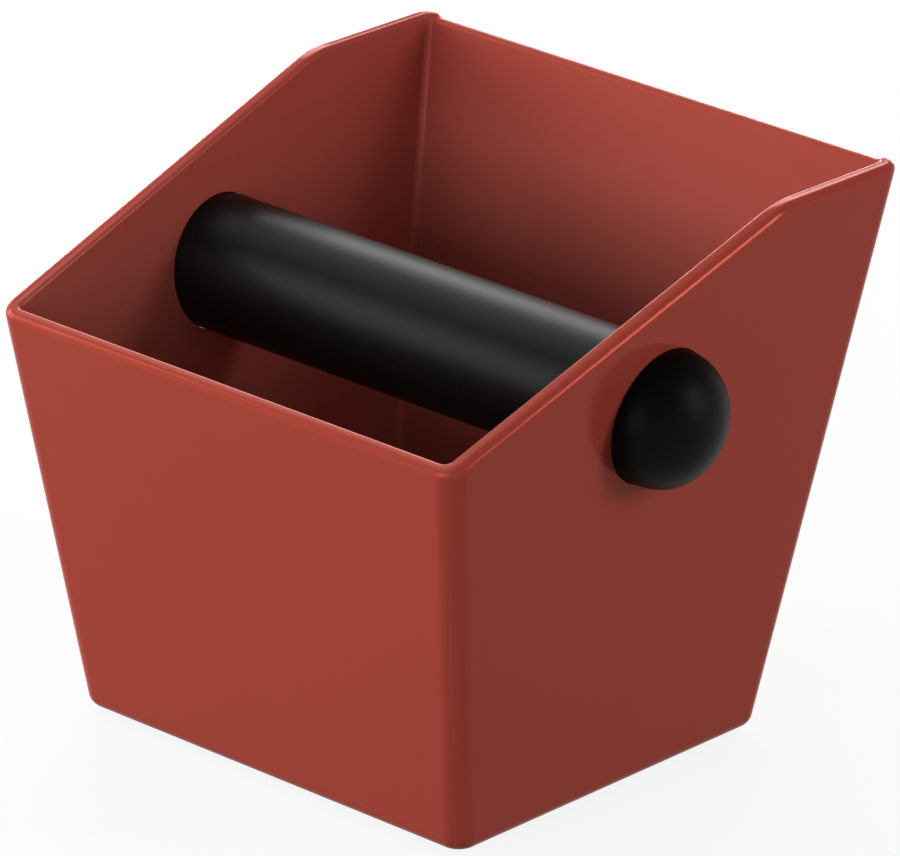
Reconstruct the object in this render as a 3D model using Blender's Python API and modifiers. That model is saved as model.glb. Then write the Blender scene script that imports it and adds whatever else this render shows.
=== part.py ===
"""Espresso knock box: an open bin with a slanted rim, and a rubber-covered bar through both side walls.

Metres, +Z up, front towards -Y. The origin is on the surface that the box stands on, under the
middle of the box. Heights of the bin are measured from its underside, which the feet hold up.
"""

import math

import bmesh
import bpy
from mathutils import Vector

MM = 0.001

# Bin: outer size at the underside, and how far each wall leans out for each unit of height
BASE_WIDTH = 117.0 * MM
BASE_DEPTH = 103.3 * MM
SIDE_LEAN_SHARE = 0.107
END_LEAN_SHARE = 0.188

# Bin: walls, and the roundings of its corners in plan and of its bottom edges
SIDE_WALL = 4.4 * MM
FRONT_WALL = 3.2 * MM
BACK_WALL = 3.4 * MM
FLOOR = 3.6 * MM
CORNER_RADIUS = 5.2 * MM
BOTTOM_RADIUS = 2.8 * MM
INNER_CORNER_RADIUS = 1.6 * MM
INNER_FLOOR_RADIUS = 1.3 * MM

# Rim: it rises from the front edge to a knee on each side wall, and is level from there to the back
FRONT_HEIGHT = 99.8 * MM
RIM_RISE = 35.95 * MM
LEVEL_LENGTH = 41.4 * MM
KNEE_RADIUS = 32.0 * MM
RIM_OUTER_RADIUS = 1.8 * MM
RIM_INNER_RADIUS = 0.9 * MM

# Back rim: a shallow dip between the side walls
DIP_DEPTH = 1.1 * MM
DIP_END_RUN = 2.4 * MM

# Bar: a thick rubber tube on a steel tube, and a domed rubber plug in each end
BAR_DIAMETER = 32.0 * MM
BAR_BELOW_RIM = 29.25 * MM
BAR_FORWARD = 0.75 * MM
BAR_STANDOUT = 1.7 * MM
DOME_HEIGHT = 12.9 * MM
CORE_DIAMETER = 18.0 * MM
CORE_WALL = 1.5 * MM
CORE_SETBACK = 2.0 * MM
SPIGOT_LENGTH = 16.0 * MM
SPIGOT_CHAMFER = 1.0 * MM

# Feet: rubber discs seated in round sockets under the floor
FOOT_DIAMETER = 14.0 * MM
FOOT_INSET = 15.0 * MM
FOOT_SOCKET_DEPTH = 1.6 * MM
FOOT_STANDOUT = 1.2 * MM
FOOT_EDGE_RADIUS = 0.5 * MM

# Gap between pieces that touch on the real object, and how far a cutter runs past what it cuts
GAP = 0.3 * MM
OVERRUN = 5.0 * MM

# A rounding takes at most these shares of the wall or corner that carries it
RIM_OUTER_MOST_SHARE = 0.58
RIM_INNER_MOST_SHARE = 0.3
BOTTOM_MOST_SHARE = 0.85

CORNER_SEGMENTS = 8
BOTTOM_SEGMENTS = 4
RIM_SEGMENTS = 3
KNEE_SEGMENTS = 5
ROUND_STEPS = 64
DOME_STEPS = 12
FOOT_STEPS = 40
SHARP_ANGLE = math.radians(32)


def outer_half_width(height):
    return BASE_WIDTH / 2 + SIDE_LEAN_SHARE * height


def front_face(height):
    return -BASE_DEPTH / 2 - END_LEAN_SHARE * height


def back_face(height):
    return BASE_DEPTH / 2 + END_LEAN_SHARE * height


# Places worked out from the sizes above
side_height = FRONT_HEIGHT + RIM_RISE
front_edge = front_face(FRONT_HEIGHT)
knee_place = back_face(side_height) - LEVEL_LENGTH
rim_slope = math.atan2(RIM_RISE, knee_place - front_edge)
middle_shift = -(front_edge + back_face(side_height)) / 2

bar_radius = BAR_DIAMETER / 2
bar_height = FRONT_HEIGHT + (-BAR_FORWARD - front_edge) * math.tan(rim_slope) - BAR_BELOW_RIM
bar_hole_radius = bar_radius + GAP
seam_place = (
    outer_half_width(bar_height - bar_radius) + outer_half_width(bar_height + bar_radius) - SIDE_WALL
) / 2
shoulder_place = outer_half_width(bar_height) + BAR_STANDOUT
core_radius = CORE_DIAMETER / 2
core_half_length = seam_place - CORE_SETBACK

foot_radius = FOOT_DIAMETER / 2
foot_height = FOOT_SOCKET_DEPTH - GAP + FOOT_STANDOUT


def clear_scene():
    for obj in list(bpy.data.objects):
        bpy.data.objects.remove(obj)


def new_collection(name):
    collection = bpy.data.collections.new(name)
    bpy.context.scene.collection.children.link(collection)
    return collection


def new_material(name, colour, roughness, metallic):
    material = bpy.data.materials.new(name)
    material.use_nodes = True
    shader = material.node_tree.nodes["Principled BSDF"]
    shader.inputs["Base Color"].default_value = (*colour, 1)
    shader.inputs["Roughness"].default_value = roughness
    shader.inputs["Metallic"].default_value = metallic
    return material


def new_empty(name, collection, location, parent=None):
    empty = bpy.data.objects.new(name, None)
    empty.location = location
    empty.parent = parent
    collection.objects.link(empty)
    return empty


def new_object(name, bm, collection, parent, material=None):
    mesh = bpy.data.meshes.new(name)
    bmesh.ops.recalc_face_normals(bm, faces=bm.faces)
    bm.to_mesh(mesh)
    bm.free()
    mesh.shade_smooth()
    mesh.set_sharp_from_angle(angle=SHARP_ANGLE)
    obj = bpy.data.objects.new(name, mesh)
    obj.parent = parent
    collection.objects.link(obj)
    if material:
        mesh.materials.append(material)
    return obj


def as_cutter(obj):
    obj.hide_render = True
    obj.display_type = "WIRE"
    return obj


def cut(obj, cutter):
    modifier = obj.modifiers.new(cutter.name, "BOOLEAN")
    modifier.operation = "DIFFERENCE"
    modifier.solver = "EXACT"
    modifier.object = cutter


def rim_planes():
    """Planes tangent to the knee's arc, from the slanted rim to the level one, as (point, normal)."""
    half = rim_slope / 2
    knee = Vector((0, knee_place, side_height))
    centre = knee - Vector((0, -math.sin(half), math.cos(half))) * (KNEE_RADIUS / math.cos(half))
    for step in range(KNEE_SEGMENTS + 1):
        angle = rim_slope * (1 - step / KNEE_SEGMENTS)
        normal = Vector((0, -math.sin(angle), math.cos(angle)))
        yield centre + normal * KNEE_RADIUS, normal


def leaning_block(low, side_wall, front_wall, back_wall, corner_radius, bottom_radius):
    """An open surface that leans out with the bin, set in from its outside by the walls, cut at the rim."""
    bm = bmesh.new()
    bmesh.ops.create_cube(bm, size=1)
    high = side_height + OVERRUN
    for vert in bm.verts:
        height = high if vert.co.z > 0 else low
        half_width = outer_half_width(height) - side_wall
        vert.co.x = math.copysign(half_width, vert.co.x)
        vert.co.y = back_face(height) - back_wall if vert.co.y > 0 else front_face(height) + front_wall
        vert.co.z = height
    upright = [e for e in bm.edges if abs(e.verts[0].co.z - e.verts[1].co.z) > (high - low) / 2]
    bmesh.ops.bevel(
        bm, geom=upright, offset=corner_radius, segments=CORNER_SEGMENTS, profile=0.5, affect="EDGES"
    )
    middle = (low + high) / 2
    floor = min(bm.faces, key=lambda face: face.calc_center_median().z)
    round_bottom = min(bottom_radius, corner_radius * BOTTOM_MOST_SHARE)
    bmesh.ops.bevel(
        bm,
        geom=[e for e in floor.edges if e.verts[0].co.z < middle],
        offset=round_bottom,
        segments=BOTTOM_SEGMENTS,
        profile=0.5,
        affect="EDGES",
    )
    for point, normal in rim_planes():
        bmesh.ops.bisect_plane(
            bm,
            geom=bm.verts[:] + bm.edges[:] + bm.faces[:],
            plane_co=point,
            plane_no=normal,
            clear_outer=True,
        )
    return bm


def add_surface(bm, other):
    """Copies other's surface into bm, and frees other."""
    mesh = bpy.data.meshes.new("surface")
    other.to_mesh(mesh)
    other.free()
    bm.from_mesh(mesh)
    bpy.data.meshes.remove(mesh)


def round_rim(bm, rim):
    """Rounds the outer and the inner edge of the rim's top."""
    faces = set(rim)
    bounds = [e for e in bm.edges if sum(f in faces for f in e.link_faces) == 1]

    def outside(edge):
        wall = next(f for f in edge.link_faces if f not in faces)
        place = (edge.verts[0].co + edge.verts[1].co) / 2
        return wall.normal.x * place.x + wall.normal.y * (place.y - middle_shift) > 0

    outer = [e for e in bounds if outside(e)]
    inner = [e for e in bounds if not outside(e)]
    thinnest = min(SIDE_WALL, FRONT_WALL, BACK_WALL)
    for edges, radius in (
        (outer, min(RIM_OUTER_RADIUS, thinnest * RIM_OUTER_MOST_SHARE)),
        (inner, min(RIM_INNER_RADIUS, thinnest * RIM_INNER_MOST_SHARE)),
    ):
        bmesh.ops.bevel(bm, geom=edges, offset=radius, segments=RIM_SEGMENTS, profile=0.5, affect="EDGES")


def make_bin(parts, cutters, base, bar_axis, feet_places, plastic):
    bm = leaning_block(0, 0, 0, 0, CORNER_RADIUS, BOTTOM_RADIUS)
    inner = leaning_block(
        FLOOR, SIDE_WALL, FRONT_WALL, BACK_WALL, INNER_CORNER_RADIUS, INNER_FLOOR_RADIUS
    )
    add_surface(bm, inner)
    rim = bmesh.ops.bridge_loops(bm, edges=[e for e in bm.edges if e.is_boundary])["faces"]
    bmesh.ops.recalc_face_normals(bm, faces=bm.faces)
    round_rim(bm, rim)
    body = new_object("bin", bm, parts, base, plastic)
    cut(body, dip_cutter(cutters, base))
    cut(body, round_cutter("bar_hole", bar_hole_radius, 2 * (shoulder_place + OVERRUN), cutters, bar_axis))
    cutters.objects["bar_hole"].rotation_euler.y = math.pi / 2
    for name, place in feet_places.items():
        depth = FOOT_SOCKET_DEPTH + OVERRUN
        socket = round_cutter(f"socket_{name}", foot_radius + GAP, depth, cutters, base)
        socket.location = (*place, FOOT_SOCKET_DEPTH - depth / 2)
        cut(body, socket)


def dip_cutter(cutters, base):
    """A bar across the back rim, as deep as the dip there, with sloping ends inside the side walls."""
    half = outer_half_width(side_height) - SIDE_WALL
    low = side_height - DIP_DEPTH
    high = side_height + OVERRUN
    near = back_face(side_height) - BACK_WALL - INNER_CORNER_RADIUS
    far = back_face(side_height) + OVERRUN
    bm = bmesh.new()
    bmesh.ops.create_cube(bm, size=1)
    spread = DIP_END_RUN * (high - low) / DIP_DEPTH
    for vert in bm.verts:
        reach = half - DIP_END_RUN + (spread if vert.co.z > 0 else 0)
        vert.co.x = math.copysign(reach, vert.co.x)
        vert.co.y = far if vert.co.y > 0 else near
        vert.co.z = high if vert.co.z > 0 else low
    return as_cutter(new_object("back_dip", bm, cutters, base))


def round_cutter(name, radius, length, cutters, parent):
    bm = bmesh.new()
    bmesh.ops.create_cone(
        bm, cap_ends=True, segments=ROUND_STEPS, radius1=radius, radius2=radius, depth=length
    )
    return as_cutter(new_object(name, bm, cutters, parent))


def turned(name, profile, closed, parts, parent, material):
    """A profile of (radius, height) turned about its own Z axis. It runs down its outer side."""
    bm = bmesh.new()
    verts = [bm.verts.new((radius, 0, height)) for radius, height in profile]
    for first, second in zip(verts, verts[1:]):
        bm.edges.new((first, second))
    if closed:
        bm.edges.new((verts[-1], verts[0]))
    obj = new_object(name, bm, parts, parent, material)
    screw = obj.modifiers.new("turn", "SCREW")
    screw.axis = "Z"
    screw.steps = ROUND_STEPS
    screw.render_steps = ROUND_STEPS
    screw.use_merge_vertices = True
    screw.merge_threshold = 0.00001
    screw.use_smooth_shade = True
    return obj


def tube(name, outer, inner, half_length, parts, parent, material):
    profile = [(outer, half_length), (outer, -half_length), (inner, -half_length), (inner, half_length)]
    obj = turned(name, profile, True, parts, parent, material)
    obj.rotation_euler.y = math.pi / 2
    return obj


def make_cap(name, side, parts, bar_axis, rubber):
    """A domed plug: a short round shank in the wall's hole, and a spigot in the steel tube."""
    shank = shoulder_place - seam_place - GAP / 2
    dome = [
        (bar_radius * math.cos(angle), shank + DOME_HEIGHT * math.sin(angle))
        for angle in (math.pi / 2 * (1 - step / DOME_STEPS) for step in range(1, DOME_STEPS + 1))
    ]
    spigot_radius = core_radius - CORE_WALL - GAP
    profile = [
        (0, shank + DOME_HEIGHT),
        *dome,
        (bar_radius, 0),
        (spigot_radius, 0),
        (spigot_radius, -SPIGOT_LENGTH + SPIGOT_CHAMFER),
        (spigot_radius - SPIGOT_CHAMFER, -SPIGOT_LENGTH),
        (0, -SPIGOT_LENGTH),
    ]
    cap = turned(name, profile, False, parts, bar_axis, rubber)
    cap.rotation_euler.y = side * math.pi / 2
    cap.location.x = side * (seam_place + GAP / 2)


def make_foot(name, place, parts, root, rubber):
    bm = bmesh.new()
    bmesh.ops.create_cone(
        bm, cap_ends=True, segments=FOOT_STEPS, radius1=foot_radius, radius2=foot_radius, depth=foot_height
    )
    lower = [e for e in bm.edges if e.verts[0].co.z < 0 and e.verts[1].co.z < 0]
    bmesh.ops.bevel(bm, geom=lower, offset=FOOT_EDGE_RADIUS, segments=2, profile=0.5, affect="EDGES")
    foot = new_object(name, bm, parts, root, rubber)
    foot.location = (*place, foot_height / 2)


def main():
    clear_scene()
    parts = new_collection("knock_box")
    cutters = new_collection("cutters")
    plastic = new_material("bin_plastic", (0.36, 0.055, 0.038), 0.38, 0)
    bar_rubber = new_material("bar_rubber", (0.014, 0.014, 0.015), 0.55, 0)
    cap_rubber = new_material("cap_rubber", (0.008, 0.008, 0.009), 0.42, 0)
    steel = new_material("core_steel", (0.56, 0.56, 0.57), 0.3, 1)
    foot_rubber = new_material("foot_rubber", (0.02, 0.02, 0.02), 0.8, 0)

    root = new_empty("box_middle", parts, (0, middle_shift, 0))
    base = new_empty("bin_underside", parts, (0, 0, FOOT_STANDOUT), root)
    bar_axis = new_empty("bar_axis", parts, (0, -BAR_FORWARD, bar_height), base)

    across = BASE_WIDTH / 2 - FOOT_INSET
    along = BASE_DEPTH / 2 - FOOT_INSET
    feet_places = {
        "front_left": (-across, -along),
        "front_right": (across, -along),
        "back_left": (-across, along),
        "back_right": (across, along),
    }
    make_bin(parts, cutters, base, bar_axis, feet_places, plastic)
    for name, place in feet_places.items():
        make_foot(f"foot_{name}", place, parts, root, foot_rubber)

    sleeve_end = seam_place - GAP / 2
    tube("bar_sleeve", bar_radius, core_radius + GAP, sleeve_end, parts, bar_axis, bar_rubber)
    tube("bar_core", core_radius, core_radius - CORE_WALL, core_half_length, parts, bar_axis, steel)
    make_cap("left_cap", -1, parts, bar_axis, cap_rubber)
    make_cap("right_cap", 1, parts, bar_axis, cap_rubber)


main()
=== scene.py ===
import math
import bmesh
import bpy
from mathutils import Matrix, Vector


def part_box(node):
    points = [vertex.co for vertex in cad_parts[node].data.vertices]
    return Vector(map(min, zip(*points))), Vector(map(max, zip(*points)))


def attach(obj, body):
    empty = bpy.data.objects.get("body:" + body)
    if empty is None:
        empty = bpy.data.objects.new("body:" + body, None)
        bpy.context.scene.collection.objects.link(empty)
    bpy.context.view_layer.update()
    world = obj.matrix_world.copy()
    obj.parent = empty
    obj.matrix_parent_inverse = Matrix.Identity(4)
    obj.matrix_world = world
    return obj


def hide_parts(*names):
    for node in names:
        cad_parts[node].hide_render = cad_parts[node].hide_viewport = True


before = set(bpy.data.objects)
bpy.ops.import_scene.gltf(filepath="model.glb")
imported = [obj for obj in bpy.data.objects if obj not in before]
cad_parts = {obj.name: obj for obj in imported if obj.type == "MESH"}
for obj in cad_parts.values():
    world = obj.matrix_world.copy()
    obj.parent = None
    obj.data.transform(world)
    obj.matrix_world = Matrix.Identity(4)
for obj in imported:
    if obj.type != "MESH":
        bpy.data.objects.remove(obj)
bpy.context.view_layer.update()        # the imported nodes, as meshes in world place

# Espresso knock box. Metres, front towards -Y, and the box stands on z = 0.
mm = 0.001
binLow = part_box("bin")[0]
sleeveLow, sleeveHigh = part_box("bar_sleeve")
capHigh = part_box("right_cap")[1]
coreLow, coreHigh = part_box("bar_core")
mergeDistance = 0.0001 * mm


# A shader socket. An expression on these adds its Math nodes.
class Shade:
    def __init__(self, nodes, socket):
        self.nodes = nodes
        self.socket = socket

    def maths(self, operation, *values):
        return self.nodes.node("Math", {"operation": operation}, dict(enumerate(values)))

    def __add__(self, other):
        return self.maths("ADD", self, other)

    def __radd__(self, other):
        return self.maths("ADD", other, self)

    def __sub__(self, other):
        return self.maths("SUBTRACT", self, other)

    def __rsub__(self, other):
        return self.maths("SUBTRACT", other, self)

    def __mul__(self, other):
        return self.maths("MULTIPLY", self, other)

    def __rmul__(self, other):
        return self.maths("MULTIPLY", other, self)

    def __pow__(self, other):
        return self.maths("POWER", self, other)

    def __rpow__(self, other):
        return self.maths("POWER", other, self)

    def __abs__(self):
        return self.maths("ABSOLUTE", self)

    def least(self, other):
        return self.maths("MINIMUM", self, other)

    def most(self, other):
        return self.maths("MAXIMUM", self, other)

    # rises evenly from 0 at the first value to 1 at the last, and stays level outside them
    def rise(self, first, last):
        return ((self - first) * (1 / (last - first))).most(0.0).least(1.0)


# A node tree, and the one way that its nodes are made: settings first, then sockets
class Nodes:
    def __init__(self, tree):
        self.tree = tree

    def node(self, kind, settings=None, sockets=None, output=0):
        made = self.tree.nodes.new("ShaderNode" + kind)
        for name, value in (settings or {}).items():
            setattr(made, name, value)
        for name, value in (sockets or {}).items():
            if isinstance(value, Shade):
                self.tree.links.new(value.socket, made.inputs[name])
            else:
                made.inputs[name].default_value = value
        return Shade(self, made.outputs[output])


# A material on the Principled shader
class Finish(Nodes):
    def __init__(self, name, fixed):
        self.material = bpy.data.materials.new(name)
        self.material.use_nodes = True
        super().__init__(self.material.node_tree)
        self.shader = self.tree.nodes["Principled BSDF"]
        for socket, value in fixed.items():
            self.shader.inputs[socket].default_value = value

    def feed(self, socket, value):
        self.tree.links.new(value.socket, self.shader.inputs[socket])

    def spot(self):
        return self.node("TexCoord", output="Object")

    def noise(self, place, scale, detail):
        return self.node("TexNoise", None, {"Vector": place, "Scale": scale, "Detail": detail})

    def mixed(self, share, first, second):
        # sockets by number, because the Mix node has a set of the same names for each kind
        return self.node("Mix", {"data_type": "RGBA"}, {0: share, 6: first, 7: second}, 2)

    def bump(self, height, strength, depth):
        sockets = {"Strength": strength, "Distance": depth, "Height": height}
        self.feed("Normal", self.node("Bump", None, sockets))


# Camera: fitted to the photo's straight edges, round a point over the middle of the bin's floor
camera = {
    "azimuth": 41.366,
    "elevation": 22.302,
    "roll": 1.733,
    "distance": 1839.96 * mm,
    "aimHeight": 63.83 * mm,
    "aimSetback": -3.379 * mm,
    "focalPixels": 8084.9,
    "across": -22.2,           # the principal point's offset, in pixels of the photo
    "down": 29.66,
    "photoWidth": 900,
    "sensor": 36.0,
    "farthest": 50.0,
}


def outwards(made):
    # the direction in which a camera or a lamp stands
    a = math.radians(made["azimuth"])
    e = math.radians(made["elevation"])
    return Vector((math.sin(a) * math.cos(e), -math.cos(a) * math.cos(e), math.sin(e)))


def placeCamera(made):
    a = math.radians(made["azimuth"])
    r = math.radians(made["roll"])
    back = outwards(made)
    level = Vector((math.cos(a), math.sin(a), 0))
    raised = back.cross(level)
    right = level * math.cos(r) + raised * math.sin(r)
    up = raised * math.cos(r) - level * math.sin(r)
    data = bpy.data.cameras.new("camera")
    data.sensor_width = made["sensor"]
    data.lens = made["focalPixels"] / made["photoWidth"] * made["sensor"]
    data.shift_x = -made["across"] / made["photoWidth"]
    data.shift_y = made["down"] / made["photoWidth"]
    data.clip_end = made["farthest"]
    item = bpy.data.objects.new("camera", data)
    bpy.context.scene.collection.objects.link(item)
    aim = Vector((0, made["aimSetback"], made["aimHeight"] + binLow.z))
    turn = Matrix((right, up, back)).transposed().to_4x4()
    item.matrix_world = Matrix.Translation(aim + back * made["distance"]) @ turn
    bpy.context.scene.camera = item


def finishedPiece(name, bm, material, body, slot, *nodes):
    mesh = bpy.data.meshes.new(name)
    bm.to_mesh(mesh)
    bm.free()
    mesh.shade_smooth()
    piece = bpy.data.objects.new(name, mesh)
    bpy.context.scene.collection.objects.link(piece)
    mesh.materials.append(material)
    if nodes:
        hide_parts(*nodes)
    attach(piece, body)
    return piece


def weighNormals(piece):
    weighted = piece.modifiers.new("weigh", "WEIGHTED_NORMAL")
    weighted.mode = "FACE_AREA"
    weighted.weight = 100
    weighted.keep_sharp = True


# Moulded plastic: satin, with the faint unevenness of a big flat moulding. Inside the bin it is
# duller, and its colour is a less red copy that grows paler towards the floor: painted light.
plastic = {
    "fixed": {
        "Specular IOR Level": 0.06,
        "Specular Tint": (1.0, 0.42, 0.35, 1),
        "Metallic": 0.1,
    },
    "colour": (0.372, 0.055, 0.037, 1),
    "deep": (0.357, 0.052, 0.034, 1),
    # the inside's less red colour and its paler low part are painted light, lifting the bin's
    # deep shade
    "inside": (0.355, 0.06, 0.044, 1),
    "paintedLightLow": (0.42, 0.125, 0.097, 1),
    "lowest": 40.0 * mm,
    "highest": 130.0 * mm,
    "insideFrom": -2.4 * mm,    # the inside's colour starts in the middle of the walls' rims
    "insideTo": -1.4 * mm,
    "dullFrom": -0.15 * mm,     # and its dullness at their inner faces
    "dullTo": -0.05 * mm,
    "cloud": 14.0,
    "cloudDetail": 3.0,
    "grain": 5200.0,
    "waves": 9.0,
    "gloss": 0.14,
    "glossSpread": 0.03,
    "insideGloss": 0.34,
    "bump": 0.06,
    "bumpDetail": 1.0,
    "bumpDepth": 0.05 * mm,
}


def roomInside(x, y, height):
    # how far a place lies inside the bin, from the nearest inner face
    room = outerHalf(height) - binSizes["sideWall"] - abs(x)
    room = room.least(endFace(height) - binSizes["frontWall"] - abs(y - binMiddle))
    return room.least(height - binSizes["floor"])


def mouldedPlastic():
    made = plastic
    finish = Finish("moulded plastic", made["fixed"])
    place = finish.spot()
    cloud = finish.noise(place, made["cloud"], made["cloudDetail"])
    outside = finish.mixed(cloud, made["deep"], made["colour"])
    x, y, z = (finish.node("SeparateXYZ", None, {"Vector": place}, axis) for axis in "XYZ")
    height = z - underside
    room = roomInside(x, y, height)
    # painted light: the inside's colour turns paler from 130 mm down to 40 mm, lifting the shade
    # deep in the bin
    raised = height.rise(made["lowest"], made["highest"])
    inner = finish.mixed(raised, made["paintedLightLow"], made["inside"])
    inside = room.rise(made["insideFrom"], made["insideTo"])
    finish.feed("Base Color", finish.mixed(inside, outside, inner))
    dull = room.rise(made["dullFrom"], made["dullTo"])
    gloss = made["gloss"] + dull * (made["insideGloss"] - made["gloss"])
    finish.feed("Roughness", gloss + (cloud - 0.5) * made["glossSpread"])
    grain = finish.noise(place, made["grain"], made["bumpDetail"])
    wave = finish.noise(place, made["waves"], made["bumpDetail"])
    finish.bump(grain + wave, made["bump"], made["bumpDepth"])
    return finish.material


# Bin: the same sizes as the solid's, from its underside up, with finer roundings
binSizes = {
    "width": 117.0 * mm,
    "depth": 103.3 * mm,
    "sideLean": 0.107,
    "endLean": 0.188,
    "sideWall": 4.4 * mm,
    "frontWall": 3.2 * mm,
    "backWall": 3.4 * mm,
    "floor": 3.6 * mm,
    "corner": 5.2 * mm,
    "bottomEdge": 2.8 * mm,
    "innerCorner": 1.6 * mm,
    "innerFloorEdge": 1.3 * mm,
    "cornerSteps": 14,
    "bottomSteps": 7,
    "frontHeight": 99.8 * mm,
    "rimRise": 35.949 * mm,
    "levelLength": 41.4 * mm,
    "kneeRadius": 32.0 * mm,
    "kneeSteps": 12,
    "rimOuterEdge": 2.2 * mm,
    "rimOuterSteps": 6,
    "rimInnerEdge": 1.0 * mm,
    "rimInnerSteps": 5,
    "level": 0.8,               # a rim's face points up by at least this share
    "lengthwise": 0.1,          # and a long face of the back wall sideways by at most this one
    "dip": 0.8 * mm,            # how far the back rim lies below the side walls' rims
    "dipRun": 2.8 * mm,
    "dipSteps": 5,
    "holeGap": 0.1 * mm,
    "holeEdge": 0.25 * mm,
    "holeEdgeSteps": 3,
    "holeSegments": 128,
    "onHole": 0.02 * mm,        # how near to the hole's radius a corner of its edge lies
    "sharp": 1.0,               # and the least angle between the faces at that edge
    "socket": 7.3 * mm,         # a foot's socket
    "socketDepth": 1.6 * mm,
    "socketSegments": 96,
    "spare": 5.0 * mm,
}


def outerHalf(height):
    return binSizes["width"] / 2 + binSizes["sideLean"] * height


def endFace(height):
    return binSizes["depth"] / 2 + binSizes["endLean"] * height


sideHeight = binSizes["frontHeight"] + binSizes["rimRise"]
kneePlace = endFace(sideHeight) - binSizes["levelLength"]
rimSlope = math.atan2(binSizes["rimRise"], kneePlace + endFace(binSizes["frontHeight"]))
binMiddle = (endFace(binSizes["frontHeight"]) - endFace(sideHeight)) / 2
underside = binLow.z


def rimPlanes():
    # the rim's cutting planes, from the slope round the knee to the level length
    steps = binSizes["kneeSteps"]
    half = rimSlope / 2
    radius = binSizes["kneeRadius"]
    knee = Vector((0, kneePlace, sideHeight))
    centre = knee - Vector((0, -math.sin(half), math.cos(half))) * (radius / math.cos(half))
    for step in range(steps + 1):
        angle = rimSlope * (1 - step / steps)
        normal = Vector((0, -math.sin(angle), math.cos(angle)))
        yield centre + normal * radius, normal


def bevelled(bm, edges, radius, steps):
    bmesh.ops.bevel(
        bm,
        geom=list(edges),
        offset=radius,
        segments=steps,
        profile=0.5,
        affect="EDGES",
        material=-1,
    )


def leaningSurface(low, sideWall, frontWall, backWall, corner, bottomEdge):
    # an open shell, inside the bin's outer faces by the walls' thicknesses, cut off at the rim
    bm = bmesh.new()
    bmesh.ops.create_cube(bm, size=1)
    high = sideHeight + binSizes["spare"]
    for vert in bm.verts:
        height = high if vert.co.z > 0 else low
        face = endFace(height)
        vert.co.x = math.copysign(outerHalf(height) - sideWall, vert.co.x)
        vert.co.y = face - backWall if vert.co.y > 0 else frontWall - face
        vert.co.z = height
    half = (high - low) / 2
    upright = [e for e in bm.edges if abs(e.verts[0].co.z - e.verts[1].co.z) > half]
    bevelled(bm, upright, corner, binSizes["cornerSteps"])
    floor = min(bm.faces, key=lambda face: face.calc_center_median().z)
    bevelled(bm, floor.edges, bottomEdge, binSizes["bottomSteps"])
    for point, normal in rimPlanes():
        everything = bm.verts[:] + bm.edges[:] + bm.faces[:]
        bmesh.ops.bisect_plane(
            bm, geom=everything, plane_co=point, plane_no=normal, clear_outer=True
        )
    return bm


def facesAcross(bm, across, near):
    # the back wall's long faces that the plane x = across passes through
    for face in bm.faces:
        places = [vert.co.x for vert in face.verts]
        lengthwise = abs(face.normal.x) < binSizes["lengthwise"]
        atBack = face.calc_center_median().y > near
        if lengthwise and atBack and min(places) < across < max(places):
            yield face


def crossCutBack(bm):
    # cuts across the long faces of the back wall where its rim comes down, for sinkBackRim
    flat = outerHalf(sideHeight) - binSizes["sideWall"]
    first = flat - binSizes["innerCorner"]
    last = flat - binSizes["dipRun"]
    steps = binSizes["dipSteps"]
    for side in (-1, 1):
        for step in range(1, steps + 1):
            across = side * (first + (last - first) * step / steps)
            back = list(facesAcross(bm, across, flat / 2))
            edges = dict.fromkeys(edge for face in back for edge in face.edges)
            verts = dict.fromkeys(vert for face in back for vert in face.verts)
            geom = [*back, *edges, *verts]
            bmesh.ops.bisect_plane(bm, geom=geom, plane_co=(across, 0, 0), plane_no=(1, 0, 0))


def sinkBackRim(bm):
    # lowers the finished back rim between the side walls, along the back wall's own lean
    flat = outerHalf(sideHeight) - binSizes["sideWall"]
    near = endFace(sideHeight) - binSizes["backWall"] - 2 * binSizes["rimInnerEdge"]
    for vert in bm.verts:
        if vert.co.z > sideHeight - 2 * binSizes["rimOuterEdge"] and vert.co.y > near:
            share = min(max((flat - abs(vert.co.x)) / binSizes["dipRun"], 0), 1)
            fall = binSizes["dip"] * share * share * (3 - 2 * share)
            vert.co.z -= fall
            vert.co.y -= fall * binSizes["endLean"]


def roundRim(bm, rim):
    faces = set(rim)
    bounds = [e for e in bm.edges if sum(f in faces for f in e.link_faces) == 1]
    outer, inner = [], []
    for edge in bounds:
        wall = next(f for f in edge.link_faces if f not in faces)
        place = (edge.verts[0].co + edge.verts[1].co) / 2
        out = wall.normal.x * place.x + wall.normal.y * (place.y - binMiddle) > 0
        (outer if out else inner).append(edge)
    bevelled(bm, outer, binSizes["rimOuterEdge"], binSizes["rimOuterSteps"])
    bevelled(bm, inner, binSizes["rimInnerEdge"], binSizes["rimInnerSteps"])


def cylinder(bm, radius, length, turn, place, segments):
    bmesh.ops.create_cone(
        bm,
        cap_ends=True,
        segments=segments,
        radius1=radius,
        radius2=radius,
        depth=length,
        matrix=Matrix.Translation(place) @ turn,
    )


def drill(bm, cutter):
    # takes the cutter out of bm with an exact Boolean, and returns the result as a bmesh
    meshes = []
    for name, part in (("shell", bm), ("cutter", cutter)):
        mesh = bpy.data.meshes.new(name)
        part.to_mesh(mesh)
        part.free()
        item = bpy.data.objects.new(name, mesh)
        bpy.context.scene.collection.objects.link(item)
        meshes.append(item)
    shell, tool = meshes
    cut = shell.modifiers.new("cut", "BOOLEAN")
    cut.operation = "DIFFERENCE"
    cut.solver = "EXACT"
    cut.object = tool
    depsgraph = bpy.context.evaluated_depsgraph_get()
    result = bmesh.new()
    result.from_mesh(shell.evaluated_get(depsgraph).to_mesh())
    for item in meshes:
        mesh = item.data
        bpy.data.objects.remove(item)
        bpy.data.meshes.remove(mesh)
    return result


barPlace = Vector((0, (sleeveLow.y + sleeveHigh.y) / 2, (sleeveLow.z + sleeveHigh.z) / 2))
barRadius = (sleeveHigh.z - sleeveLow.z) / 2


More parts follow.
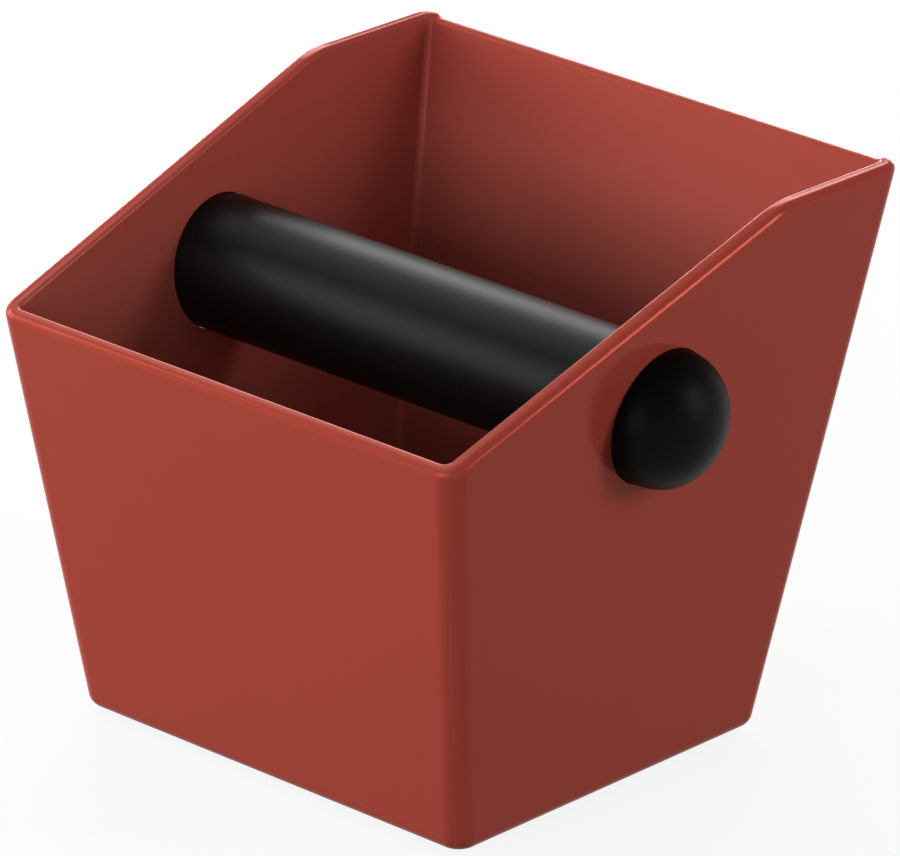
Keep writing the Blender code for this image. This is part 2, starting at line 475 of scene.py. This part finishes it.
def roundHoleEdges(bm):
    radius = barRadius + binSizes["holeGap"]

    def onHole(vert):
        offset = vert.co - barPlace
        return abs(math.hypot(offset.y, offset.z) - radius) < binSizes["onHole"]

    edges = []
    for edge in bm.edges:
        if onHole(edge.verts[0]) and onHole(edge.verts[1]) and len(edge.link_faces) == 2:
            first, second = (face.normal for face in edge.link_faces)
            if first.angle(second) > binSizes["sharp"]:
                edges.append(edge)
    bevelled(bm, edges, binSizes["holeEdge"], binSizes["holeEdgeSteps"])


def makeBin():
    size = binSizes
    bm = leaningSurface(0, 0, 0, 0, size["corner"], size["bottomEdge"])
    inner = leaningSurface(
        size["floor"],
        size["sideWall"],
        size["frontWall"],
        size["backWall"],
        size["innerCorner"],
        size["innerFloorEdge"],
    )
    mesh = bpy.data.meshes.new("inner")
    inner.to_mesh(mesh)
    inner.free()
    bm.from_mesh(mesh)
    bpy.data.meshes.remove(mesh)
    bmesh.ops.bridge_loops(bm, edges=[e for e in bm.edges if e.is_boundary])
    bmesh.ops.recalc_face_normals(bm, faces=bm.faces)
    crossCutBack(bm)
    level = [face for face in bm.faces if face.normal.z > size["level"]]
    roundRim(bm, [f for f in level if f.calc_center_median().z > size["frontHeight"]])
    sinkBackRim(bm)
    bmesh.ops.translate(bm, verts=bm.verts, vec=(0, binMiddle, underside))
    cutter = bmesh.new()
    across = Matrix.Rotation(math.pi / 2, 4, "Y")
    through = 3 * outerHalf(sideHeight)
    hole = barRadius + size["holeGap"]
    cylinder(cutter, hole, through, across, barPlace, size["holeSegments"])
    for foot in feetNodes():
        low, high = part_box(foot)
        middle = (low + high) / 2
        tall = size["socketDepth"] + size["spare"]
        place = Vector((middle.x, middle.y, underside + size["socketDepth"] - tall / 2))
        cylinder(cutter, size["socket"], tall, Matrix(), place, size["socketSegments"])
    bm = drill(bm, cutter)
    roundHoleEdges(bm)
    piece = finishedPiece("bin_shell", bm, mouldedPlastic(), "box", "bin_plastic", "bin")
    weighNormals(piece)
    print("bin made,", len(piece.data.polygons), "faces")


def feetNodes():
    return [name for name in sorted(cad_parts) if name.startswith("foot_")]


# Rubber: near black, with a fine matt grain
rubberGrain = {
    "cloud": 60.0,
    "cloudDetail": 3.0,
    "deep": 0.85,
    "pale": 1.15,
    "glossSpread": 0.08,
    "grain": 2600.0,
    "grainDetail": 2.0,
    "bump": 0.2,
}


def rubber(name, made):
    finish = Finish(name, {"Specular IOR Level": made["sheen"]})
    place = finish.spot()
    cloud = finish.noise(place, rubberGrain["cloud"], rubberGrain["cloudDetail"])
    deep, pale = (
        tuple(c * rubberGrain[share] for c in made["colour"]) + (1,) for share in ("deep", "pale")
    )
    finish.feed("Base Color", finish.mixed(cloud, deep, pale))
    finish.feed("Roughness", made["gloss"] + (cloud - 0.5) * rubberGrain["glossSpread"])
    grain = finish.noise(place, rubberGrain["grain"], rubberGrain["grainDetail"])
    finish.bump(grain, rubberGrain["bump"], made["grainDepth"])
    return finish.material


def turned(points, axis, closed, steps):
    # spins the points' outline once about the axis
    bm = bmesh.new()
    verts = [bm.verts.new(point) for point in points]
    edges = [bm.edges.new(pair) for pair in zip(verts, verts[1:])]
    if closed:
        edges.append(bm.edges.new((verts[-1], verts[0])))
    bmesh.ops.spin(
        bm,
        geom=verts + edges,
        cent=(0, 0, 0),
        axis=axis,
        angle=2 * math.pi,
        steps=steps,
        use_merge=True,
    )
    bmesh.ops.remove_doubles(bm, verts=bm.verts, dist=mergeDistance)
    bmesh.ops.recalc_face_normals(bm, faces=bm.faces)
    return bm


def turnedAlong(outline, closed, along):
    # turns (radius, place) points about the bar's axis, along which 1 counts places to the right
    points = [(along * place, radius, 0) for radius, place in outline]
    bm = turned(points, (1, 0, 0), closed, barSizes["segments"])
    bmesh.ops.translate(bm, verts=bm.verts, vec=barPlace)
    return bm


def arc(middle, radius, start, end, steps):
    for step in range(steps + 1):
        angle = math.radians(start + (end - start) * step / steps)
        yield middle[0] + radius * math.cos(angle), middle[1] + radius * math.sin(angle)


barSizes = {
    "dome": 12.9 * mm,
    "domeSteps": 28,
    "sleeveEdge": 0.4 * mm,
    "edgeSteps": 4,
    "coreWall": 1.5 * mm,
    "gap": 0.3 * mm,
    "spigotChamfer": 1.0 * mm,
    "spigotLength": 16.0 * mm,
    "segments": 128,
    "sleeveRubber": {
        "colour": (0.004, 0.0041, 0.0042),
        "gloss": 0.4,
        "sheen": 0.12,
        "grainDepth": 0.02 * mm,
    },
    "capRubber": {
        "colour": (0.0009, 0.0009, 0.001),
        "gloss": 0.44,
        "sheen": 0.06,
        "grainDepth": 0.01 * mm,
    },
}


def domeOutline(tip, shoulder):
    # the domed end's half section, from its tip to its widest place
    steps = barSizes["domeSteps"]
    yield 0, tip
    for step in range(1, steps + 1):
        angle = math.pi / 2 * (1 - step / steps)
        yield barRadius * math.cos(angle), shoulder + barSizes["dome"] * math.sin(angle)


def makeBar():
    size = barSizes
    edge = size["sleeveEdge"]
    steps = size["edgeSteps"]
    half = (sleeveHigh.x - sleeveLow.x) / 2
    coreRadius = (coreHigh.z - coreLow.z) / 2
    bore = coreRadius + size["gap"]
    outline = [
        *arc((barRadius - edge, half - edge), edge, 90, 0, steps),
        *arc((barRadius - edge, edge - half), edge, 0, -90, steps),
        (bore, -half),
        (bore, half),
    ]
    piece = finishedPiece(
        "bar_grip",
        turnedAlong(outline, True, 1),
        rubber("bar rubber", size["sleeveRubber"]),
        "bar",
        "bar_rubber",
        "bar_sleeve",
    )
    weighNormals(piece)
    capRubber = rubber("cap rubber", size["capRubber"])
    seam = half + size["gap"]
    tip = capHigh.x
    spigot = coreRadius - size["coreWall"] - size["gap"]
    end = seam - size["spigotLength"]
    chamfer = size["spigotChamfer"]
    for side, node in ((-1, "left_cap"), (1, "right_cap")):
        outline = [
            *domeOutline(tip, tip - size["dome"]),
            *arc((barRadius - edge, seam + edge), edge, 0, -90, steps),
            (spigot, seam),
            (spigot, end + chamfer),
            (spigot - chamfer, end),
            (0, end),
        ]
        cap = turnedAlong(outline, False, side)
        piece = finishedPiece(f"{node}_dome", cap, capRubber, "bar", "cap_rubber", node)
        weighNormals(piece)
    print("bar made")


# Steel tube: drawn, with fine rings round it
steel = {
    "fixed": {"Metallic": 1.0, "Base Color": (0.56, 0.56, 0.57, 1)},
    "squeeze": (900.0, 30.0, 30.0),
    "detail": 3.0,
    "gloss": 0.24,
    "glossSpread": 0.16,
    "bump": 0.1,
    "bumpDepth": 0.02 * mm,
}


def drawnSteel():
    finish = Finish("drawn steel", steel["fixed"])
    squeezed = finish.node("Mapping", None, {"Vector": finish.spot(), "Scale": steel["squeeze"]})
    rings = finish.noise(squeezed, 1.0, steel["detail"])
    finish.feed("Roughness", steel["gloss"] + rings * steel["glossSpread"])
    finish.bump(rings, steel["bump"], steel["bumpDepth"])
    return finish.material


def dressCore():
    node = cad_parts["bar_core"]
    node.data.materials.clear()
    node.data.materials.append(drawnSteel())
    print("core dressed")


# Feet: round pads with a shallow dish under each
feetSizes = {
    "edge": 0.6 * mm,
    "edgeSteps": 5,
    "topSteps": 3,
    "dish": 0.25 * mm,
    "dishRadius": 4.6 * mm,
    "segments": 72,
    "rubber": {
        "colour": (0.02, 0.02, 0.02),
        "gloss": 0.7,
        "sheen": 0.3,
        "grainDepth": 0.02 * mm,
    },
}


def padOutline(radius, tall):
    size = feetSizes
    edge = size["edge"]
    return [
        (0, tall),
        *arc((radius - edge / 2, tall - edge / 2), edge / 2, 90, 0, size["topSteps"]),
        *arc((radius - edge, edge), edge, 0, -90, size["edgeSteps"]),
        (size["dishRadius"] + size["dish"], 0),
        (size["dishRadius"], size["dish"]),
        (0, size["dish"]),
    ]


def makeFeet():
    material = rubber("foot rubber", feetSizes["rubber"])
    for node in feetNodes():
        low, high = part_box(node)
        middle = (low + high) / 2
        outline = padOutline((high.x - low.x) / 2, high.z - low.z)
        points = [(radius, 0, height) for radius, height in outline]
        bm = turned(points, (0, 0, 1), False, feetSizes["segments"])
        bmesh.ops.translate(bm, verts=bm.verts, vec=(middle.x, middle.y, low.z))
        piece = finishedPiece(f"{node}_pad", bm, material, "box", "foot_rubber", node)
        weighNormals(piece)
    print("feet made")


# Floor and light: a pale floor that still shows the shadow, and soft lamps round the box.
# A lamp's azimuth counts from the front to the right, and its glow is its surface's brightness.
studio = {
    "reach": 8.0,
    "floor": (0.04, 0.04, 0.04, 1),
    "floorSeen": (0.8, 0.8, 0.8, 1),
    "floorWhite": 0.87,         # how far the floor is lifted to white where it is looked at
    "whiteFrom": 0.3,           # and the distances between which it turns to plain white
    "whiteTo": 1.1,
    "sky": (1, 1, 1, 1),
    "zenith": 0.3,              # how bright the sky is straight up
    "horizon": 1.3,             # and along the floor
    "fall": 8.0,                # a higher power keeps the bright part nearer to the floor
    "lamps": {
        "left": {
            "azimuth": -62,
            "elevation": 15,
            "away": 0.85,
            "size": (0.59, 0.46),
            "glow": 6.0,
        },
        "front": {
            "azimuth": -5,
            "elevation": 14,
            "away": 0.85,
            "size": (0.59, 0.39),
            "glow": 4.8,
        },
        "back": {
            "azimuth": -138,
            "elevation": 33,
            "away": 1.3,
            "size": (0.7, 0.42),
            "glow": 7.6,
        },
        "strip": {
            "azimuth": -136,
            "elevation": 8,
            "away": 1.3,
            "size": (1.6, 0.2),
            "glow": 9.0,
        },
        "top": {
            "azimuth": -90,
            "elevation": 58,
            "away": 1.3,
            "size": (0.7, 0.5),
            "glow": 2.2,
        },
        "right": {
            "azimuth": 117,
            "elevation": 22,
            "away": 0.9,
            "size": (0.17, 0.42),
            "glow": 11.5,
        },
        "near": {
            "azimuth": 60,
            "elevation": 12,
            "away": 1.4,
            "size": (0.5, 0.5),
            "glow": 0.8,
        },
    },
}


def makeFloor():
    bm = bmesh.new()
    bmesh.ops.create_grid(bm, x_segments=1, y_segments=1, size=studio["reach"])
    mesh = bpy.data.meshes.new("floor")
    bm.to_mesh(mesh)
    bm.free()
    floor = bpy.data.objects.new("floor", mesh)
    bpy.context.scene.collection.objects.link(floor)
    finish = Finish("floor", {"Roughness": 0.9, "Specular IOR Level": 0.0})
    straight, glossy, clear = (
        finish.node("LightPath", output=f"Is {kind} Ray")
        for kind in ("Camera", "Glossy", "Transmission")
    )
    seen = straight + glossy + clear
    finish.feed("Base Color", finish.mixed(seen, studio["floor"], studio["floorSeen"]))
    away = finish.node("VectorMath", {"operation": "LENGTH"}, {"Vector": finish.spot()}, "Value")
    far = away.rise(studio["whiteFrom"], studio["whiteTo"])
    white = studio["floorWhite"] + far * (1 - studio["floorWhite"])
    plain = Shade(finish, finish.shader.outputs[0])
    glow = finish.node("Emission")
    surface = finish.node("MixShader", None, {0: seen * white, 1: plain, 2: glow})
    output = finish.tree.nodes["Material Output"]
    finish.tree.links.new(surface.socket, output.inputs["Surface"])
    mesh.materials.append(finish.material)


def addLamp(name, made):
    data = bpy.data.lights.new(name, "AREA")
    data.shape = "RECTANGLE"
    data.size, data.size_y = made["size"]
    data.energy = made["glow"] * math.pi * data.size * data.size_y
    lamp = bpy.data.objects.new(name, data)
    bpy.context.scene.collection.objects.link(lamp)
    back = outwards(made)
    aim = Vector((0, 0, camera["aimHeight"]))
    turn = back.to_track_quat("Z", "Y").to_matrix().to_4x4()
    lamp.matrix_world = Matrix.Translation(aim + back * made["away"]) @ turn


def makeStudio():
    makeFloor()
    world = bpy.data.worlds.new("studio")
    bpy.context.scene.world = world
    world.use_nodes = True
    tree = world.node_tree
    background = tree.nodes["Background"]
    background.inputs["Color"].default_value = studio["sky"]
    nodes = Nodes(tree)
    direction = nodes.node("TexCoord", output="Generated")
    height = nodes.node("SeparateXYZ", None, {"Vector": direction}, "Z")
    share = (1 - height.most(0.0)) ** studio["fall"]
    strength = studio["zenith"] + share * (studio["horizon"] - studio["zenith"])
    tree.links.new(strength.socket, background.inputs["Strength"])
    for name, made in studio["lamps"].items():
        addLamp(name, made)
    bpy.context.scene.view_settings.view_transform = "Standard"
    print("studio lit")


placeCamera(camera)
makeBin()
makeBar()
dressCore()
makeFeet()
makeStudio()
